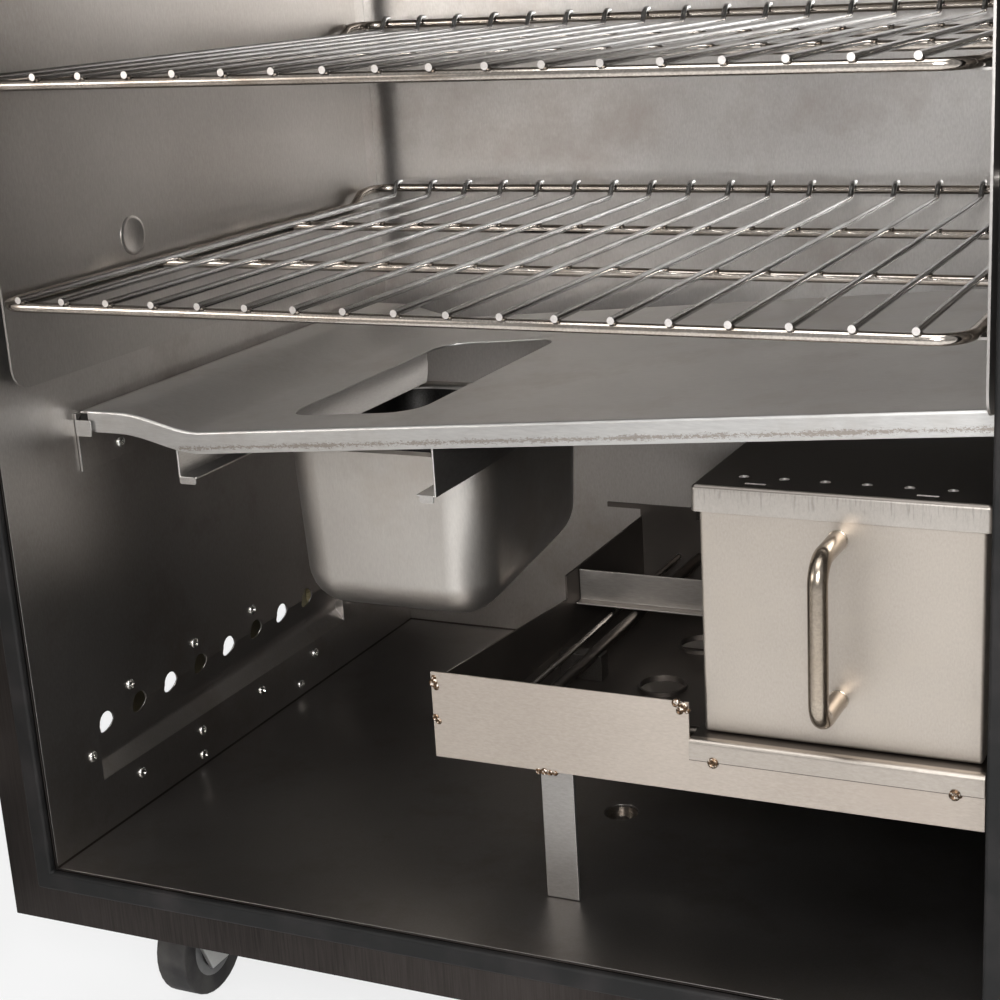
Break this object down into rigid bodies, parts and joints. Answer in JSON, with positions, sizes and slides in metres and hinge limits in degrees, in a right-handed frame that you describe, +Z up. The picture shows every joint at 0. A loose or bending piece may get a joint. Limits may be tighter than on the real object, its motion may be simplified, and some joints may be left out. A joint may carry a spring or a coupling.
{
  "type": "electric smoker",
  "caption": "Insulated stainless cabinet smoker with its door open: wire grates, a sloping heat baffle with grease pan, and a heating tray that holds a lidded wood chip box.",
  "frame": {"origin": "middle of the whole model's footprint at floor level, with the door open", "axes": "X to the right of someone facing the cabinet, Y from the front to the back, Z up"},
  "size_m": [0.8084, 1.2606, 0.9963],
  "materials": {
    "stainless": "brushed stainless sheet with kitchen wear",
    "dark_steel": "smoke-stained stainless sheet",
    "bright_steel": "bright drawn bar and wire",
    "black_rubber": "matt black",
    "black_plastic": "matt black moulding",
    "red_lamp": "clear red lens",
    "mineral_wool": "loose yellow mineral wool"
  },
  "bodies": {
    "cabinet": {"outer_shell": "stainless", "inner_liner": "dark_steel", "insulation": "mineral_wool", "front_frame": "stainless", "door_gasket": "black_rubber", "rack_left": "dark_steel", "rack_right": "dark_steel", "baffle_bracket_left": "dark_steel", "baffle_bracket_right": "dark_steel", "element_tray": "dark_steel", "ledge_rail": "stainless", "tray_cross_bar": "stainless", "box_rear_rest": "stainless", "tray_leg_front": "stainless", "tray_leg_rear": "stainless", "heating_element": "dark_steel", "element_flange": "dark_steel", "element_support": "dark_steel", "thermostat_probe": "dark_steel", "control_housing": "stainless", "control_panel": "stainless", "thermostat_body": "black_plastic", "switch_bezel": "black_plastic", "pilot_lamp": "red_lamp", "power_socket": "black_plastic", "vent_tube": "stainless", "latch_keeper": "bright_steel", "hinge_frame_upper": "bright_steel", "hinge_frame_lower": "bright_steel", "caster_plate_front_left": "stainless", "caster_plate_front_right": "stainless", "caster_plate_rear_left": "stainless", "caster_plate_rear_right": "stainless"},
    "door": {"door_outer_skin": "stainless", "door_insulation": "mineral_wool", "door_inner_skin": "stainless", "hinge_door_upper": "bright_steel", "hinge_door_lower": "bright_steel", "latch_case": "bright_steel"},
    "latch": {"latch_lever": "bright_steel"},
    "grate_lower": {"grate_lower": "bright_steel"},
    "grate_upper": {"grate_upper": "bright_steel"},
    "baffle": {"baffle": "stainless", "pan_rail_left": "stainless", "pan_rail_right": "stainless"},
    "grease_pan": {"grease_pan": "stainless"},
    "wood_box": {"wood_box": "stainless", "wood_box_handle": "bright_steel"},
    "wood_box_lid": {"wood_box_lid": "stainless"},
    "knob": {"control_knob": "black_plastic"},
    "switch": {"switch_rocker": "black_plastic"},
    "vent_cap": {"vent_cap": "stainless"},
    "caster_fork_front_left": {"caster_fork_front_left": "stainless"},
    "caster_wheel_front_left": {"caster_wheel_front_left": "black_rubber"},
    "caster_fork_front_right": {"caster_fork_front_right": "stainless"},
    "caster_wheel_front_right": {"caster_wheel_front_right": "black_rubber"},
    "caster_fork_rear_left": {"caster_fork_rear_left": "stainless"},
    "caster_wheel_rear_left": {"caster_wheel_rear_left": "black_rubber"},
    "caster_fork_rear_right": {"caster_fork_rear_right": "stainless"},
    "caster_wheel_rear_right": {"caster_wheel_rear_right": "black_rubber"}
  },
  "joints": [
    {"name": "door_swing", "type": "hinge", "parent": "cabinet", "child": "door", "pos_m": [-0.3306, 0.07425, 0.518], "axis": [0, 0, -1], "range_deg": [-90, 90]},
    {"name": "latch_turn", "type": "hinge", "parent": "door", "child": "latch", "pos_m": [-0.3822, -0.59625, 0.518], "axis": [1, 0, 0], "range_deg": [0, 90]},
    {"name": "grate_lower_slide", "type": "slide", "parent": "cabinet", "child": "grate_lower", "axis": [0, -1, 0], "range_m": [0, 0.38]},
    {"name": "grate_upper_slide", "type": "slide", "parent": "cabinet", "child": "grate_upper", "axis": [0, -1, 0], "range_m": [0, 0.38]},
    {"name": "baffle_slide", "type": "slide", "parent": "cabinet", "child": "baffle", "axis": [0, -1, 0], "range_m": [0, 0.2]},
    {"name": "pan_slide", "type": "slide", "parent": "baffle", "child": "grease_pan", "axis": [0, -1, 0], "range_m": [0, 0.15]},
    {"name": "wood_box_slide", "type": "slide", "parent": "cabinet", "child": "wood_box", "axis": [0, -1, 0], "range_m": [0, 0.17]},
    {"name": "lid_lift", "type": "slide", "parent": "wood_box", "child": "wood_box_lid", "axis": [0, 0, 1], "range_m": [0, 0.02]},
    {"name": "knob_turn", "type": "hinge", "parent": "cabinet", "child": "knob", "pos_m": [-0.0346, 0.10625, 0.9673], "axis": [0, -1, 0], "range_deg": [-270, 0]},
    {"name": "switch_rock", "type": "hinge", "parent": "cabinet", "child": "switch", "pos_m": [0.0604, 0.11125, 0.9673], "axis": [-1, 0, 0], "range_deg": [0, 12]},
    {"name": "vent_swing", "type": "hinge", "parent": "cabinet", "child": "vent_cap", "pos_m": [0.1901, 0.50625, 0.983], "axis": [0, 0, 1], "range_deg": [0, 120]},
    {"name": "caster_swivel_front_left", "type": "hinge", "parent": "cabinet", "child": "caster_fork_front_left", "pos_m": [-0.2481, 0.16125, 0.0947], "axis": [0, 0, 1], "continuous": true},
    {"name": "caster_spin_front_left", "type": "hinge", "parent": "caster_fork_front_left", "child": "caster_wheel_front_left", "pos_m": [-0.2481, 0.18525, 0.0375], "axis": [1, 0, 0], "continuous": true},
    {"name": "caster_swivel_front_right", "type": "hinge", "parent": "cabinet", "child": "caster_fork_front_right", "pos_m": [0.2989, 0.16125, 0.0947], "axis": [0, 0, 1], "continuous": true},
    {"name": "caster_spin_front_right", "type": "hinge", "parent": "caster_fork_front_right", "child": "caster_wheel_front_right", "pos_m": [0.2989, 0.18525, 0.0375], "axis": [1, 0, 0], "continuous": true},
    {"name": "caster_swivel_rear_left", "type": "hinge", "parent": "cabinet", "child": "caster_fork_rear_left", "pos_m": [-0.2481, 0.55525, 0.0947], "axis": [0, 0, 1], "continuous": true},
    {"name": "caster_spin_rear_left", "type": "hinge", "parent": "caster_fork_rear_left", "child": "caster_wheel_rear_left", "pos_m": [-0.2481, 0.57925, 0.0375], "axis": [1, 0, 0], "continuous": true},
    {"name": "caster_swivel_rear_right", "type": "hinge", "parent": "cabinet", "child": "caster_fork_rear_right", "pos_m": [0.2989, 0.55525, 0.0947], "axis": [0, 0, 1], "continuous": true},
    {"name": "caster_spin_rear_right", "type": "hinge", "parent": "caster_fork_rear_right", "child": "caster_wheel_rear_right", "pos_m": [0.2989, 0.57925, 0.0375], "axis": [1, 0, 0], "continuous": true}
  ]
}
